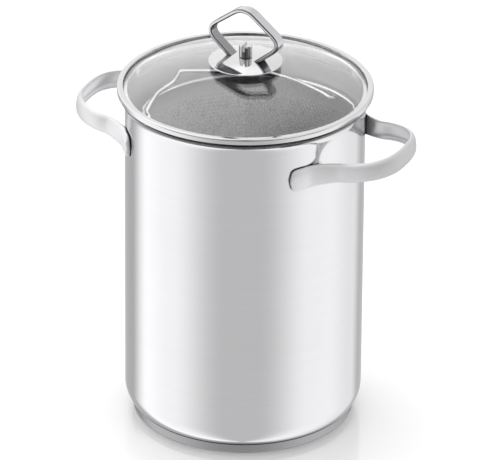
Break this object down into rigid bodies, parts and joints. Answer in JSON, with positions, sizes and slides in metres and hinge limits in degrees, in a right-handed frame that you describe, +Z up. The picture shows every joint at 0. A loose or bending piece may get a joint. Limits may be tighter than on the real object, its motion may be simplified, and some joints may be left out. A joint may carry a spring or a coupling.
{
  "type": "water bath canner",
  "caption": "Tall slim stainless pot with two strap handles, a domed glass lid with a loop knob, and a lift-out perforated basket with folding wire bails.",
  "frame": {"origin": "centre of the pot's underside, on its axis, at the level that it stands on", "axes": "+Z up along the pot's axis; the two side handles lie along +X and -X"},
  "size_m": [0.24, 0.1726, 0.2969],
  "materials": {
    "polished_steel": "soft mirror polish",
    "satin_steel": "fine satin",
    "aluminium": "as pressed",
    "glass": "clear tempered, polished",
    "silicone": "matte translucent white"
  },
  "bodies": {
    "pot": {"pot_body": "polished_steel", "base_core": "aluminium", "base_cap": "satin_steel", "side_handle_right": "satin_steel", "side_handle_left": "satin_steel"},
    "basket": {"basket_wall": "satin_steel", "basket_rim_wire": "satin_steel", "basket_floor": "satin_steel", "basket_foot_ring": "satin_steel"},
    "bail_back": {"basket_bail_back": "polished_steel"},
    "bail_front": {"basket_bail_front": "polished_steel"},
    "lid": {"lid_rim_band": "polished_steel", "lid_glass": "glass", "knob_seal_top": "silicone", "knob_seal_bottom": "silicone", "knob_washer": "satin_steel", "knob_screw": "satin_steel", "knob_disc": "polished_steel", "knob_post": "polished_steel", "knob_loop": "satin_steel"}
  },
  "joints": [
    {"name": "basket_lift", "type": "slide", "parent": "pot", "child": "basket", "axis": [0, 0, 1], "range_m": [0, 0.24]},
    {"name": "lid_lift", "type": "slide", "parent": "basket", "child": "lid", "axis": [0, 0, 1], "range_m": [0, 0.12]},
    {"name": "bail_back_swing", "type": "hinge", "parent": "basket", "child": "bail_back", "pos_m": [-0.01097, 0.01364, 0.209], "axis": [0.6561, 0.7547, 0], "range_deg": [0, 95]},
    {"name": "bail_front_swing", "type": "hinge", "parent": "basket", "child": "bail_front", "pos_m": [0.01697, -0.01064, 0.209], "axis": [-0.6561, -0.7547, 0], "range_deg": [0, 95]}
  ],
  "couplings": [
    {"joint": "bail_back_swing", "follows": "lid_lift", "rad_per_m": 13.817},
    {"joint": "bail_front_swing", "follows": "lid_lift", "rad_per_m": 13.817}
  ]
}
